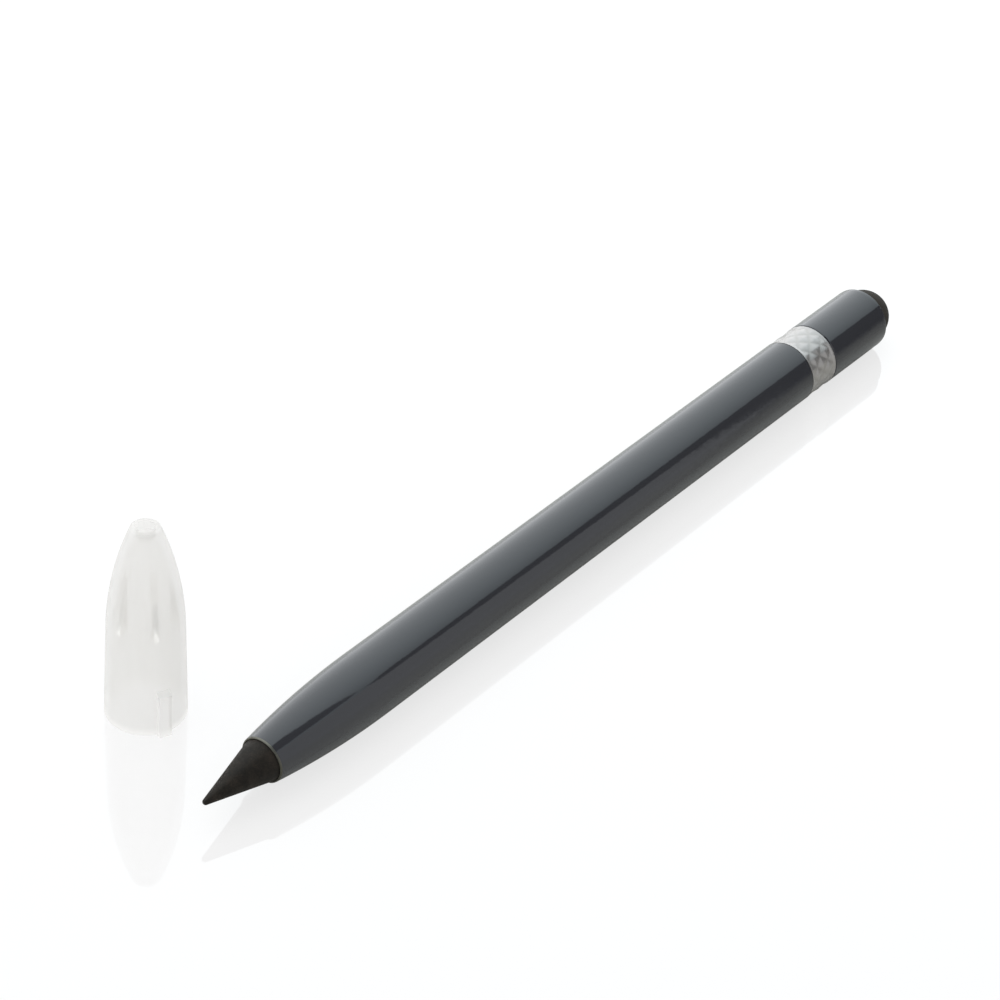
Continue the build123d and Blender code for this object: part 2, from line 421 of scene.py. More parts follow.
def gloss_lacquer(tubes):
    """Aluminium tube sprayed with a gloss lacquer.

    It mirrors the room sharply. The spray leaves a faint ripple, longer along the tube than across
    it, that frets the edges of the reflections.
    """
    material, tree = new_material("Gloss lacquer sprayed on drawn aluminium")
    place = add_node(tree, "ShaderNodeTexCoord").outputs["Object"]
    # The ripples are about 0.9 mm wide and twice as long
    stretched = add_node(tree, "ShaderNodeMapping", {"Scale": (0.5, 1, 1)}, {"Vector": place})
    ripple = add_node(
        tree,
        "ShaderNodeTexNoise",
        {"Scale": per_metre(0.9), "Detail": 1.0, "Roughness": 0.4},
        {"Vector": stretched.outputs["Vector"]},
    )
    bump = add_node(
        tree,
        "ShaderNodeBump",
        {"Strength": 1.0, "Distance": 0.008 * MM},
        {"Height": ripple.outputs["Fac"]},
    )
    # The coat grows thicker and thinner over about 14 mm
    thickness = add_node(
        tree, "ShaderNodeTexNoise", {"Scale": per_metre(14), "Detail": 3.0}, {"Vector": place}
    )
    paint = add_node(
        tree,
        "ShaderNodeMix",
        {"A": tubes.paint, "B": tubes.paint_light},
        {"Factor": thickness.outputs["Fac"]},
        data_type="RGBA",
    )
    wiped = add_node(
        tree,
        "ShaderNodeMapRange",
        {"To Min": tubes.gloss * 0.8, "To Max": tubes.gloss * 1.2},
        {"Value": thickness.outputs["Fac"]},
    )
    shader = add_node(
        tree,
        "ShaderNodeBsdfPrincipled",
        {"IOR": 1.5},
        {
            "Base Color": paint.outputs["Result"],
            "Roughness": wiped.outputs["Result"],
            "Normal": bump.outputs["Normal"],
        },
    )
    add_node(tree, "ShaderNodeOutputMaterial", links={"Surface": shader.outputs["BSDF"]})
    return material


def bare_aluminium(tubes):
    """Drawn and cut aluminium without lacquer: a dull grey metal with fine lines along the tube."""
    material, tree = new_material("Bare drawn aluminium")
    place = add_node(tree, "ShaderNodeTexCoord").outputs["Object"]
    # The die leaves lines about 0.08 mm wide and 20 times as long
    drawn = add_node(tree, "ShaderNodeMapping", {"Scale": (0.05, 1, 1)}, {"Vector": place})
    lines = add_node(
        tree,
        "ShaderNodeTexNoise",
        {"Scale": per_metre(0.08), "Detail": 3.0},
        {"Vector": drawn.outputs["Vector"]},
    )
    dull = add_node(
        tree,
        "ShaderNodeMapRange",
        {"To Min": 0.36, "To Max": 0.52},
        {"Value": lines.outputs["Fac"]},
    )
    shader = add_node(
        tree,
        "ShaderNodeBsdfPrincipled",
        {"Base Color": tubes.bare, "Metallic": 1.0},
        {"Roughness": dull.outputs["Result"]},
    )
    add_node(tree, "ShaderNodeOutputMaterial", links={"Surface": shader.outputs["BSDF"]})
    return material


def pressed_graphite(point):
    """Graphite alloy pressed to a cone and ground: matt warm black with fine grey grains."""
    material, tree = new_material("Pressed and ground graphite alloy")
    place = add_node(tree, "ShaderNodeTexCoord").outputs["Object"]
    # The powder is far finer than a pixel: its clumps are drawn at 0.16 mm, in clouds of 1.8 mm
    cloud = add_node(
        tree,
        "ShaderNodeTexNoise",
        {"Scale": per_metre(1.8), "Detail": 4.0, "Roughness": 0.6},
        {"Vector": place},
    )
    grain = add_node(
        tree,
        "ShaderNodeTexNoise",
        {"Scale": per_metre(0.16), "Detail": 3.0, "Roughness": 0.7},
        {"Vector": place},
    )
    bright = add_node(
        tree,
        "ShaderNodeMath",
        links={0: cloud.outputs["Fac"], 1: grain.outputs["Fac"]},
        operation="MULTIPLY",
    )
    amount = add_node(
        tree,
        "ShaderNodeMapRange",
        {"From Min": 0.18, "From Max": 0.42},
        {"Value": bright.outputs["Value"]},
    )
    tone = add_node(
        tree,
        "ShaderNodeMix",
        {"A": point.graphite, "B": point.graphite_grain},
        {"Factor": amount.outputs["Result"]},
        data_type="RGBA",
    )
    bump = add_node(
        tree,
        "ShaderNodeBump",
        {"Strength": 0.5, "Distance": 0.03 * MM},
        {"Height": grain.outputs["Fac"]},
    )
    shader = add_node(
        tree,
        "ShaderNodeBsdfPrincipled",
        {"Roughness": 0.55, "IOR": 1.6, "Specular IOR Level": 0.12},
        {"Base Color": tone.outputs["Result"], "Normal": bump.outputs["Normal"]},
    )
    add_node(tree, "ShaderNodeOutputMaterial", links={"Surface": shader.outputs["BSDF"]})
    return material


def rolled_steel(point):
    """Steel stud with a rolled thread: a grey metal whose shine is a little uneven."""
    material, tree = new_material("Rolled steel thread")
    place = add_node(tree, "ShaderNodeTexCoord").outputs["Object"]
    # The rollers leave marks of about 0.3 mm
    marks = add_node(
        tree, "ShaderNodeTexNoise", {"Scale": per_metre(0.3), "Detail": 3.0}, {"Vector": place}
    )
    dull = add_node(
        tree,
        "ShaderNodeMapRange",
        {"To Min": 0.22, "To Max": 0.42},
        {"Value": marks.outputs["Fac"]},
    )
    shader = add_node(
        tree,
        "ShaderNodeBsdfPrincipled",
        {"Base Color": point.steel, "Metallic": 1.0},
        {"Roughness": dull.outputs["Result"]},
    )
    add_node(tree, "ShaderNodeOutputMaterial", links={"Surface": shader.outputs["BSDF"]})
    return material


def turned_brass(point):
    """Brass turned on a lathe: yellow metal with fine rings from the tool."""
    material, tree = new_material("Turned brass")
    place = add_node(tree, "ShaderNodeTexCoord").outputs["Object"]
    # The tool's feed is about 0.05 mm, drawn at 0.2 mm so that the rings show
    rings = add_node(
        tree,
        "ShaderNodeTexWave",
        {"Scale": per_metre(0.2) * WAVE_BAND, "Distortion": 0.6, "Detail": 1.0},
        {"Vector": place},
    )
    bump = add_node(
        tree,
        "ShaderNodeBump",
        {"Strength": 0.4, "Distance": 0.004 * MM},
        {"Height": rings.outputs["Fac"]},
    )
    shader = add_node(
        tree,
        "ShaderNodeBsdfPrincipled",
        {"Base Color": point.brass, "Metallic": 1.0, "Roughness": 0.28},
        {"Normal": bump.outputs["Normal"]},
    )
    add_node(tree, "ShaderNodeOutputMaterial", links={"Surface": shader.outputs["BSDF"]})
    return material


def satin_aluminium(band):
    """Aluminium rolled in a knurl and blasted: a soft silver, with painted shade at the foot of the
    pyramids.
    """
    material, tree = new_material("Knurled and blasted aluminium")
    place = add_node(tree, "ShaderNodeTexCoord").outputs["Object"]
    # Blasting grit is about 0.05 mm
    grit = add_node(
        tree, "ShaderNodeTexNoise", {"Scale": per_metre(0.05), "Detail": 2.0}, {"Vector": place}
    )
    bump = add_node(
        tree,
        "ShaderNodeBump",
        {"Strength": 0.3, "Distance": 0.006 * MM},
        {"Height": grit.outputs["Fac"]},
    )
    centred = add_node(tree, "ShaderNodeVectorMath", {1: AXIS}, {0: place}, operation="SUBTRACT")
    across = add_node(
        tree,
        "ShaderNodeVectorMath",
        {1: (0, 1, 1)},
        {0: centred.outputs["Vector"]},
        operation="MULTIPLY",
    )
    radius = add_node(
        tree, "ShaderNodeVectorMath", links={0: across.outputs["Vector"]}, operation="LENGTH"
    )
    tip = outer_radius("knurled_band") - band.tip_clearance
    # Painted shade: the colour darkens from halfway down the pyramids to their foot
    raised = add_node(
        tree,
        "ShaderNodeMapRange",
        {"From Min": tip - band.depth, "From Max": tip - band.depth / 2},
        {"Value": radius.outputs["Value"]},
    )
    tone = add_node(
        tree,
        "ShaderNodeMix",
        {"A": band.painted_valley_shade, "B": band.metal},
        {"Factor": raised.outputs["Result"]},
        data_type="RGBA",
    )
    shader = add_node(
        tree,
        "ShaderNodeBsdfPrincipled",
        {"Metallic": 0.7, "Roughness": band.gloss},
        {"Base Color": tone.outputs["Result"], "Normal": bump.outputs["Normal"]},
    )
    add_node(tree, "ShaderNodeOutputMaterial", links={"Surface": shader.outputs["BSDF"]})
    return material


def moulded_rubber(eraser):
    """Vulcanised rubber, moulded: matt brownish black with a fine open grain, paler where rubbed."""
    material, tree = new_material("Moulded black rubber")
    place = add_node(tree, "ShaderNodeTexCoord").outputs["Object"]
    # The open grain is about 0.14 mm wide, and rubbed patches are about 2.5 mm
    grain = add_node(
        tree,
        "ShaderNodeTexNoise",
        {"Scale": per_metre(0.14), "Detail": 4.0, "Roughness": 0.65},
        {"Vector": place},
    )
    rubbed = add_node(
        tree, "ShaderNodeTexNoise", {"Scale": per_metre(2.5), "Detail": 4.0}, {"Vector": place}
    )
    tone = add_node(
        tree,
        "ShaderNodeMix",
        {"A": eraser.rubber, "B": eraser.rubber_worn},
        {"Factor": rubbed.outputs["Fac"]},
        data_type="RGBA",
    )
    bump = add_node(
        tree,
        "ShaderNodeBump",
        {"Strength": 0.5, "Distance": 0.03 * MM},
        {"Height": grain.outputs["Fac"]},
    )
    shader = add_node(
        tree,
        "ShaderNodeBsdfPrincipled",
        {"Roughness": 0.7, "IOR": 1.52, "Specular IOR Level": 0.15},
        {"Base Color": tone.outputs["Result"], "Normal": bump.outputs["Normal"]},
    )
    add_node(tree, "ShaderNodeOutputMaterial", links={"Surface": shader.outputs["BSDF"]})
    return material


def milky_surface(tree, cap, tone, body, lower_end=None, painted_end_glow=None):
    """Etched surface of milky plastic: throws light back, scatters some through, lets some past.

    A lower end gets a painted glow, an emission that stands for the light that runs down inside the
    plastic and leaves there.
    """
    place = add_node(tree, "ShaderNodeTexCoord").outputs["Object"]
    # The etched grain is about 0.03 mm, drawn at 0.12 mm so that it shows
    etch = add_node(
        tree, "ShaderNodeTexNoise", {"Scale": per_metre(0.12), "Detail": 2.0}, {"Vector": place}
    )
    bump = add_node(
        tree,
        "ShaderNodeBump",
        {"Strength": 0.25, "Distance": 0.01 * MM},
        {"Height": etch.outputs["Fac"]},
    )
    shader = add_node(
        tree,
        "ShaderNodeBsdfPrincipled",
        {
            "Base Color": tone,
            "Roughness": cap.frost,
            "IOR": 1.49,
            "Specular IOR Level": 0.25,
            "Alpha": body,
            "Emission Color": cap.plastic,
        },
        {"Normal": bump.outputs["Normal"]},
    )
    # Painted glow: emission that fades out over the glow reach above the lower end
    if lower_end is not None:
        height = add_node(tree, "ShaderNodeSeparateXYZ", links={0: place})
        glow = add_node(
            tree,
            "ShaderNodeMapRange",
            {
                "From Min": lower_end,
                "From Max": lower_end + cap.glow_reach,
                "To Min": painted_end_glow,
                "To Max": 0.0,
            },
            {"Value": height.outputs["Z"]},
        )
        tree.links.new(glow.outputs["Result"], shader.inputs["Emission Strength"])
    through = add_node(tree, "ShaderNodeBsdfTranslucent", {"Color": tone})
    return add_node(
        tree,
        "ShaderNodeMixShader",
        {0: cap.through},
        {1: shader.outputs["BSDF"], 2: through.outputs["BSDF"]},
    )


def frosted_polypropylene(cap, place_on_cap, tone, body):
    """Natural polypropylene from an etched mould: milky, lets light through but no clear image."""
    material, tree = new_material(f"Moulded frosted polypropylene, {place_on_cap}")
    surface = milky_surface(tree, cap, tone, body, 0, cap.painted_foot_glow)
    add_node(tree, "ShaderNodeOutputMaterial", links={"Surface": surface.outputs["Shader"]})
    return material


def polypropylene_form(cap, place_on_cap, haze, lower_end=None, painted_end_glow=None):
    """Frosted polypropylene on a thick form of the cap.

    Seen from inside the plastic, through the wall that it grows on, it takes a greyer colour, a painted
    shade.
    Seen from its open side it is lost in the haze of the plastic behind it.
    """
    material, tree = new_material(f"Moulded frosted polypropylene, {place_on_cap}")
    hazy = milky_surface(tree, cap, cap.plastic, haze)
    # Painted shade: the greyer thick colour, shown where the face is seen from inside the plastic
    grey = milky_surface(tree, cap, cap.thick_plastic_shade, cap.body_thick, lower_end, painted_end_glow)
    side = add_node(tree, "ShaderNodeNewGeometry")
    shown = add_node(
        tree,
        "ShaderNodeMixShader",
        links={0: side.outputs["Backfacing"], 1: hazy.outputs["Shader"], 2: grey.outputs["Shader"]},
    )
    add_node(tree, "ShaderNodeOutputMaterial", links={"Surface": shown.outputs["Shader"]})
    return material


def polished_floor(studio):
    """Polished pale acrylic: white, with a faint mirror image and a soft shadow of what stands on it.

    To the eye most of its white is an even glow. In the lacquer and the metal it is a lit sheet in a
    greyer colour, which is painted shade, and darker close to the object.
    """
    material, tree = new_material("Polished pale acrylic")
    path = add_node(tree, "ShaderNodeLightPath")
    # Painted shade: mirror images see the floor in the greyer mirrored colour
    mirrored = add_node(
        tree,
        "ShaderNodeMix",
        {"A": studio.floor, "B": studio.floor_mirrored_shade},
        {"Factor": path.outputs["Is Glossy Ray"]},
        data_type="RGBA",
    )
    direct = add_node(
        tree,
        "ShaderNodeMath",
        links={0: path.outputs["Is Camera Ray"], 1: path.outputs["Is Transmission Ray"]},
        operation="ADD",
        use_clamp=True,
    )
    lit = add_node(
        tree,
        "ShaderNodeMix",
        {"B": studio.floor_shade},
        {"Factor": direct.outputs["Value"], "A": mirrored.outputs["Result"]},
        data_type="RGBA",
    )
    glow = add_node(
        tree,
        "ShaderNodeMath",
        {1: studio.floor_glow},
        {0: direct.outputs["Value"]},
        operation="MULTIPLY",
    )
    shader = add_node(
        tree,
        "ShaderNodeBsdfPrincipled",
        {"Roughness": 0.0, "IOR": 1.45, "Emission Color": (1, 1, 1, 1)},
        {"Base Color": lit.outputs["Result"], "Emission Strength": glow.outputs["Value"]},
    )
    add_node(tree, "ShaderNodeOutputMaterial", links={"Surface": shader.outputs["BSDF"]})
    return material


# Operators


class PENCIL_OT_tubes(Operator):
    """Builds the lacquered barrel and tail tube."""

    bl_idname = "pencil.tubes"
    bl_label = "Painted tubes"

    def execute(self, context):
        tubes = context.scene.pencil.tubes
        materials = [gloss_lacquer(tubes), bare_aluminium(tubes)]
        barrel = self.barrel(tubes, materials)
        dress(barrel, "pencil", "barrel")
        tail = self.tail(tubes, materials, sleeve_bore(context.scene.pencil.fits))
        dress(tail, "pencil", "tail_tube")
        for tube in (barrel, tail):
            soften(tube, tubes.softness)
        return {"FINISHED"}

    def barrel(self, tubes, materials):
        """Tube with a nose that is one arc, tangent to the straight part, and a rounded mouth."""
        mouth, rear = ends("barrel")
        radius = outer_radius("barrel")
        bore = radius - tubes.wall
        nose_bore = tubes.mouth_diameter / 2 - tubes.mouth_lip
        nose_end = mouth + tubes.nose_length
        drop = radius - tubes.mouth_diameter / 2
        nose_arc = (tubes.nose_length**2 + drop**2) / (2 * drop)
        # The mouth's rounding touches both the front plane and the arc of the nose
        edge = tubes.mouth_edge
        edge_along = tubes.nose_length - edge
        edge_up = sqrt((nose_arc - edge) ** 2 - edge_along**2)
        edge_centre = (mouth + edge, radius - nose_arc + edge_up)
        swept = atan2(edge_along, edge_up)
        bare_ring = tubes.mouth_bare / nose_arc
        coated = arc((nose_end, radius - nose_arc), nose_arc, pi / 2 + swept - bare_ring, pi / 2)
        coated += [(rear - tubes.front_edge, radius), (rear, radius - tubes.front_edge)]
        bare = [
            (rear, bore),
            (nose_end, bore),
            (nose_end - (bore - nose_bore), nose_bore),
            (mouth, nose_bore),
        ]
        bare += arc(edge_centre, edge, pi, pi / 2 + swept, EDGE_STEPS)
        return turned_piece("barrel_shell", coated + bare, materials, coated=len(coated) - 1)

    def tail(self, tubes, materials, joiner_bore):
        """Tube with a groove beside the band and a rolled rear edge."""
        front, rear = ends("tail_tube")
        radius = outer_radius("tail_tube")
        bore = radius - tubes.wall
        eraser_front = ends("tail_joiner")[1]
        roll_length, drop = tubes.rear_edge_length, tubes.rear_edge_drop
        roll = (roll_length**2 + drop**2) / (2 * drop)
        swept = atan2(roll_length, roll - drop)
        groove = front + tubes.groove_width
        coated = [
            (front, radius - tubes.groove_depth),
            (groove, radius - tubes.groove_depth),
            (groove, radius - tubes.front_edge),
            (groove + tubes.front_edge, radius),
        ]
        coated += arc((rear - roll_length, radius - roll), roll, pi / 2, pi / 2 - swept)
        coated.append((rear, bore))
        bare = [(eraser_front, bore), (eraser_front, joiner_bore), (front, joiner_bore)]
        return turned_piece("tail_shell", coated + bare, materials, coated=len(coated) - 1)


class PENCIL_OT_point(Operator):
    """Builds the writing point, its threaded stud and the bush that the stud screws into."""

    bl_idname = "pencil.point"
    bl_label = "Writing point"

    def execute(self, context):
        point = context.scene.pencil.point
        fits = context.scene.pencil.fits
        cone = self.cone(point, fits)
        dress(cone, "point", "nib_cone")
        soften(cone, point.softness)
        dress(self.stud(point), "point", "nib_stud")
        brass = turned_brass(point)
        dress(self.bush(point, fits, brass), "pencil", "nib_holder")
        coat("tail_joiner", brass)
        return {"FINISHED"}

    def cone(self, point, fits):
        """Cone that touches its rounded tip, on a short straight foot with a hole for the stud."""
        tip, seat = ends("nib_cone")
        foot_radius = outer_radius("nib_cone")
        mouth = seat - point.foot
        hole = outer_radius("nib_stud") + fits.press_gap
        hole_end = ends("nib_stud")[0] - fits.seat_gap
        centre = tip + point.tip_radius
        reach = mouth - centre
        slope = acos(point.tip_radius / hypot(foot_radius, reach)) - atan2(reach, foot_radius)
        outline = arc((centre, 0), point.tip_radius, pi, pi / 2 + slope)
        outline[0] = (tip, 0)
        outline += [
            (mouth, foot_radius),
            (seat, foot_radius),
            (seat, hole),
            (hole_end, hole),
            (hole_end, 0),
        ]
        return turned_piece("graphite_point", outline, [pressed_graphite(point)])

    def stud(self, point):
        """Stud with a plain end in the point and a rolled thread on the end that screws in."""
        front, rear = ends("nib_stud")
        radius = outer_radius("nib_stud")
        thread_start = ends("nib_cone")[1] + point.thread_pitch
        steps = round((rear - thread_start) / point.thread_pitch * THREAD_STEPS)

        def threaded(x, outline_radius, turn):
            if x < thread_start:
                return outline_radius
            rise = ((x - thread_start) / point.thread_pitch - turn / tau) % 1
            crest = abs(2 * rise - 1)
            return outline_radius - point.thread_depth * crest

        outline = [(front, 0), (front, radius)]
        for step in range(steps + 1):
            x = thread_start + (rear - thread_start) * step / steps
            lead = max(point.stud_chamfer - (rear - x), 0)
            outline.append((x, radius - lead))
        outline.append((rear, 0))
        return turned_piece("threaded_stud", outline, [rolled_steel(point)], relief=threaded)

    def bush(self, point, fits, material):
        """Bush with a screw hole: the thread is cut outwards, so the stud slides clear of it."""
        front, rear = ends("nib_holder")
        radius = outer_radius("nib_holder")
        hole = outer_radius("nib_stud") + fits.stud_clearance
        steps = round((rear - front - point.bush_lead) / point.thread_pitch * THREAD_STEPS)

        def tapped(x, outline_radius, turn):
            if outline_radius > hole or x <= front + point.bush_lead or x >= rear:
                return outline_radius
            rise = ((x - front) / point.thread_pitch - turn / tau) % 1
            return outline_radius + point.thread_depth * abs(2 * rise - 1)

        outline = [(front, hole + point.bush_lead), (front, radius), (rear, radius)]
        for step in range(steps + 1):
            outline.append((rear + (front + point.bush_lead - rear) * step / steps, hole))
        return turned_piece("threaded_bush", outline, [material], relief=tapped)


class PENCIL_OT_band(Operator):
    """Builds the knurled band."""

    bl_idname = "pencil.band"
    bl_label = "Knurled band"

    def execute(self, context):
        band = context.scene.pencil.band
        front, rear = ends("knurled_band")
        radius = outer_radius("knurled_band")
        inner = sleeve_bore(context.scene.pencil.fits)
        tip = radius - band.tip_clearance
        pattern_start = front + band.rim
        pattern_end = rear - band.rim
        half_pitch = (pattern_end - pattern_start) / (2 * band.across)
        half_turn = pi / band.around
        steps = PYRAMID_STEPS * band.across

        def knurled(x, outline_radius, turn):
            if outline_radius != tip:
                return outline_radius
            along = (x - pattern_start) / half_pitch
            around = (turn - band.turn) / half_turn
            first = (along + around) % 2 - 1
            second = (along - around) % 2 - 1
            to_rim = min(x - pattern_start, pattern_end - x)
            depth = band.depth * min(1, to_rim / band.run_out)
            return tip - depth * max(abs(first), abs(second))

        outline = [(front, inner), (front, radius), (pattern_start, radius)]
        for step in range(steps + 1):
            outline.append((pattern_start + (pattern_end - pattern_start) * step / steps, tip))
        outline += [(pattern_end, radius), (rear, radius), (rear, inner)]
        piece = turned_piece("pyramid_band", outline, [satin_aluminium(band)], relief=knurled)
        dress(piece, "pencil", "knurled_band")
        return {"FINISHED"}


class PENCIL_OT_eraser(Operator):
    """Builds the rubber eraser."""

    bl_idname = "pencil.eraser"
    bl_label = "Eraser"

    def execute(self, context):
        eraser = context.scene.pencil.eraser
        front, rear = ends("eraser")
        radius = outer_radius("eraser")
        shoulder = ends("tail_tube")[1] - eraser.seam_depth
        dome = radius - eraser.seam
        outline = [(front, 0), (front, radius - eraser.chamfer), (front + eraser.chamfer, radius)]
        outline += [(shoulder, radius), (shoulder, dome)]
        outline += arc((rear - dome, 0), dome, pi / 2, 0)
        outline[-1] = (rear, 0)
        piece = turned_piece("rubber_plug", outline, [moulded_rubber(eraser)])
        dress(piece, "eraser", "eraser")
        soften(piece, eraser.softness)
        return {"FINISHED"}


class PENCIL_OT_cap(Operator):
    """Builds the moulded cap, with the finish that each of its faces has."""

    bl_idname = "pencil.cap"
    bl_label = "Cap"

    OUTSIDE, INSIDE, FIN_TOP, RIB, RECESS = range(5)

    # Cosines from which a face mostly, or almost fully, looks one way
    MOSTLY = 0.5
    FULLY = 0.9

    def execute(self, context):
        cap = context.scene.pencil.cap
        low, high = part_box("cap")
        # The fin stands out towards -Y only, so the other side gives the middle
        radius = (high.x - low.x) / 2
        middle = Vector((low.x + radius, high.y - radius, 0))
        mesh = frame["nodes"]["cap"].data.copy()
        mesh.name = "moulded_cap"
        mesh.materials.clear()
        for finish in (
            frosted_polypropylene(cap, "outside", cap.plastic, cap.skin),
            frosted_polypropylene(cap, "inside", cap.plastic, cap.body),
            # The fin's top takes the greyer thick colour: painted shade
            frosted_polypropylene(cap, "fin top", cap.thick_plastic_shade, cap.body_thick),
            polypropylene_form(cap, "ribs", cap.body_thick, cap.rib_base, cap.painted_rib_glow),
            polypropylene_form(cap, "recess", cap.body),
        ):
            mesh.materials.append(finish)
        for face in mesh.polygons:
            face.material_index = self.finish(cap, face, middle, high.z)
        piece = bpy.data.objects.new("moulded_cap", mesh)
        context.scene.collection.objects.link(piece)
        dress(piece, "cap", "cap")
        return {"FINISHED"}

    def finish(self, cap, face, middle, top):
        """Finish of a face of the cap, found from its place and the way it looks."""
        outwards = (face.center - middle) * Vector((1, 1, 0))
        radius, height = outwards.length, face.center.z
        facing = face.normal.dot(outwards.normalized())
        looks_down = face.normal.z < -self.FULLY
        looks_up = face.normal.z > self.MOSTLY
        beside_ribs = cap.rib_base - cap.margin < height < cap.rib_base + cap.rib_length + cap.margin
        if beside_ribs and (abs(facing) < self.MOSTLY or radius < cap.rib_reach + cap.margin):
            return self.RIB
        if facing < -self.MOSTLY and height > top - cap.recess_depth:
            return self.RECESS
        # Painted shade: a face on the fin's top that looks up takes the greyer thick colour
        if looks_up and cap.fin_top < height < cap.rib_base:
            return self.FIN_TOP
        return self.INSIDE if facing < 0 or looks_down else self.OUTSIDE


class PENCIL_OT_stage(Operator):
    """Sets up the floor, the light and the camera."""

    bl_idname = "pencil.stage"
    bl_label = "Stage"

    # Dark gap between the softbox and the front of the room: its edges, as angles round the pencil up
    # from the back, for directions from across the pencil (0) to along it (1)
    GAP_TOP = (
        (0.36, 104),
        (0.40, 111),
        (0.46, 117),
        (0.50, 122),
        (0.54, 132),
        (0.57, 136),
        (0.60, 132),
    )
    GAP_FOOT = ((0.50, 134), (0.54, 132), (0.57, 138), (0.60, 142), (0.69, 154), (0.71, 186))

    # Between one and two glossy bounces
    FIRST_BOUNCE = 1.5

    def execute(self, context):
        studio = context.scene.pencil.studio
        context.scene.view_settings.view_transform = "Standard"
        self.floor(context, studio)
        self.room(context, studio)
        self.key_light(context, studio)
        self.camera(context, studio)
        return {"FINISHED"}

    def floor(self, context, studio):
        """Floor just under the table plane, wide enough to fill every view."""
        reach, depth = studio.floor_reach, -studio.floor_gap
        sides = ((-reach, -reach), (reach, -reach), (reach, reach), (-reach, reach))
        corners = [(x, y, depth) for x, y in sides]
        mesh = bpy.data.meshes.new("floor")
        mesh.from_pydata(corners, [], [range(len(corners))])
        mesh.materials.append(polished_floor(studio))
        piece = bpy.data.objects.new("floor", mesh)
        context.scene.collection.objects.link(piece)

    def room(self, context, studio):
        """Even white room. In mirror images it has a long softbox, which fades to a dark gap."""
        world = bpy.data.worlds.new("White room")
        world.use_nodes = True
        context.scene.world = world
        tree = world.node_tree
        tree.nodes.clear()
        place = add_node(tree, "ShaderNodeTexCoord")
        direction = add_node(tree, "ShaderNodeSeparateXYZ", links={0: place.outputs["Generated"]})
        angle = add_node(
            tree,
            "ShaderNodeMath",
            links={0: direction.outputs["Z"], 1: direction.outputs["Y"]},
            operation="ARCTAN2",
        )
        across = add_node(
            tree,
            "ShaderNodeMath",
            {1: studio.softbox_edge},
            {0: angle.outputs["Value"]},
            operation="DIVIDE",
        )
        fade = add_node(
            tree,
            "ShaderNodeMath",
            {1: studio.softbox_fade},
            {0: across.outputs["Value"]},
            operation="POWER",
        )
        level = add_node(
            tree,
            "ShaderNodeMapRange",
            {"To Min": studio.softbox, "To Max": studio.front},
            {"Value": fade.outputs["Value"]},
        )
        inside = add_node(
            tree, "ShaderNodeMath", {1: 1.0}, {0: across.outputs["Value"]}, operation="LESS_THAN"
        )
        cool = add_node(
            tree,
            "ShaderNodeMath",
            links={0: across.outputs["Value"], 1: inside.outputs["Value"]},
            operation="MULTIPLY",
        )
        tint = add_node(
            tree,
            "ShaderNodeMix",
            {"A": studio.softbox_back, "B": studio.softbox_front},
            {"Factor": cool.outputs["Value"]},
            data_type="RGBA",
        )
        under_top = add_node(
            tree,
            "ShaderNodeMath",
            links={0: angle.outputs["Value"], 1: self.gap_edge(tree, direction, self.GAP_TOP)},
            operation="GREATER_THAN",
        )
        over_foot = add_node(
            tree,
            "ShaderNodeMath",
            links={0: angle.outputs["Value"], 1: self.gap_edge(tree, direction, self.GAP_FOOT)},
            operation="LESS_THAN",
        )
        gap = add_node(
            tree,
            "ShaderNodeMath",
            links={0: under_top.outputs["Value"], 1: over_foot.outputs["Value"]},
            operation="MULTIPLY",
        )
        # The floor, the only perfect mirror, shows the room without the gap, except within the lacquer
        path = add_node(tree, "ShaderNodeLightPath")
        first_mirror = add_node(
            tree,
            "ShaderNodeMath",
            {1: self.FIRST_BOUNCE},
            {0: path.outputs["Glossy Depth"]},
            operation="LESS_THAN",
        )
        on_floor = add_node(
            tree,
            "ShaderNodeMath",
            links={0: first_mirror.outputs["Value"], 1: path.outputs["Is Singular Ray"]},
            operation="MULTIPLY",
        )
        gap_on_object = add_node(
            tree,
            "ShaderNodeMath",
            links={0: gap.outputs["Value"], 1: on_floor.outputs["Value"]},
            operation="SUBTRACT",
            use_clamp=True,
        )
        seen = add_node(
            tree,
            "ShaderNodeMix",
            {"B": studio.gap},
            {"Factor": gap_on_object.outputs["Value"], "A": level.outputs["Result"]},
        )
        softbox = add_node(
            tree,
            "ShaderNodeBackground",
            links={"Color": tint.outputs["Result"], "Strength": seen.outputs["Result"]},
        )
        direct = add_node(
            tree,
            "ShaderNodeMath",
            links={0: path.outputs["Is Camera Ray"], 1: path.outputs["Is Transmission Ray"]},
            operation="ADD",
            use_clamp=True,
        )
        even = add_node(
            tree,
            "ShaderNodeMapRange",
            {"To Min": studio.room, "To Max": 1.0},
            {"Value": direct.outputs["Value"]},
        )
        white = add_node(
            tree, "ShaderNodeBackground", {"Color": (1, 1, 1, 1)}, {"Strength": even.outputs["Result"]}
        )
        shown = add_node(
            tree,
            "ShaderNodeMixShader",
            links={
                0: path.outputs["Is Glossy Ray"],
                1: white.outputs["Background"],
                2: softbox.outputs["Background"],
            },
        )
        add_node(tree, "ShaderNodeOutputWorld", links={"Surface": shown.outputs["Shader"]})

    def gap_edge(self, tree, direction, points):
        """Angle of an edge of the dark gap, which varies along the pencil."""
        ramp = add_node(tree, "ShaderNodeValToRGB", links={"Fac": direction.outputs["X"]})
        stops = ramp.color_ramp.elements
        while len(stops) < len(points):
            stops.new(1.0)
        for stop, (along, degrees) in zip(stops, points):
            stop.position = along
            stop.color = (*[radians(degrees)] * 3, 1)
        return ramp.outputs["Color"]

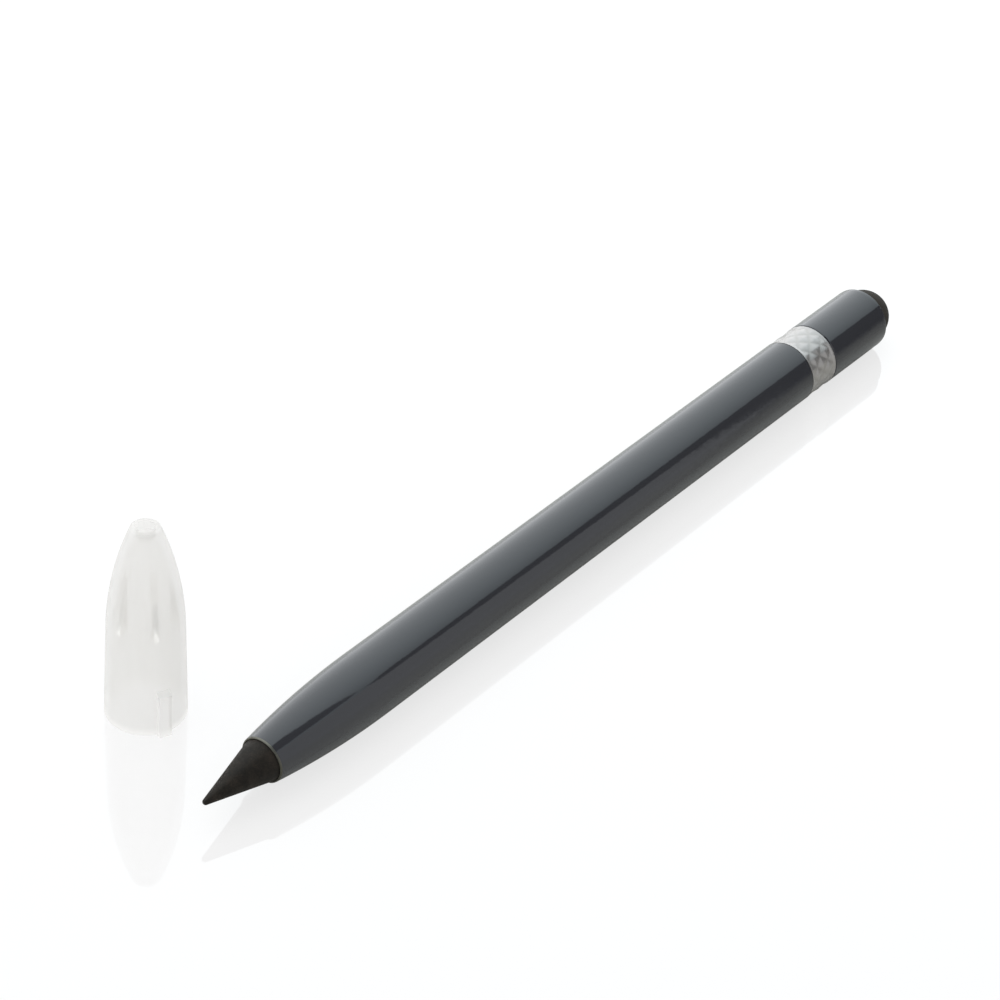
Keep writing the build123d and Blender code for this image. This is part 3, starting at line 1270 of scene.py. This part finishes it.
    def key_light(self, context, studio):
        """Soft lamp overhead, which lights matt surfaces and draws the shadow on the floor."""
        lamp = bpy.data.lights.new("Key light", "AREA")
        lamp.energy = studio.key_power
        lamp.size = studio.key_size
        holder = bpy.data.objects.new("Key light", lamp)
        holder.location = studio.key_place
        holder.rotation_euler = (-Vector(studio.key_place)).to_track_quat("-Z", "Y").to_euler()
        holder.visible_glossy = False
        context.scene.collection.objects.link(holder)

    def camera(self, context, studio):
        """Camera at the photograph's place."""
        data = bpy.data.cameras.new("Camera")
        data.lens = studio.camera_lens
        camera = bpy.data.objects.new("Camera", data)
        place = Vector(studio.camera_place)
        aim = (Vector(studio.camera_aim) - place).to_track_quat("-Z", "Y")
        camera.location = place
        camera.rotation_euler = (aim @ Quaternion((0, 0, 1), studio.camera_roll)).to_euler()
        context.scene.collection.objects.link(camera)
        context.scene.camera = camera


class VIEW3D_PT_pencil(Panel):
    """Lists the pieces of the pencil and their settings."""

    bl_idname = "VIEW3D_PT_pencil"
    bl_label = "Inkless pencil"
    bl_space_type = "VIEW_3D"
    bl_region_type = "UI"
    bl_category = "Pencil"

    def draw(self, context):
        pencil = context.scene.pencil
        for operator, groups in PIECES:
            box = self.layout.box()
            box.operator(operator.bl_idname)
            for group in groups:
                settings = getattr(pencil, group)
                for name in settings.__annotations__:
                    box.prop(settings, name)


# Operators in the order in which they run, each with its groups of settings
PIECES = (
    (PENCIL_OT_tubes, ["tubes", "fits"]),
    (PENCIL_OT_point, ["point"]),
    (PENCIL_OT_band, ["band"]),
    (PENCIL_OT_eraser, ["eraser"]),
    (PENCIL_OT_cap, ["cap"]),
    (PENCIL_OT_stage, ["studio"]),
)

CLASSES = (
    TubeSettings,
    FitSettings,
    PointSettings,
    BandSettings,
    EraserSettings,
    CapSettings,
    StudioSettings,
    PencilSettings,
    *(operator for operator, groups in PIECES),
    VIEW3D_PT_pencil,
)


def register():
    for cls in CLASSES:
        bpy.utils.register_class(cls)
    bpy.types.Scene.pencil = PointerProperty(type=PencilSettings)


def unregister():
    del bpy.types.Scene.pencil
    for cls in reversed(CLASSES):
        bpy.utils.unregister_class(cls)


def main():
    register()
    bpy.ops.pencil.tubes()
    bpy.ops.pencil.point()
    bpy.ops.pencil.band()
    bpy.ops.pencil.eraser()
    bpy.ops.pencil.cap()
    bpy.ops.pencil.stage()


if __name__ == "__main__":
    main()
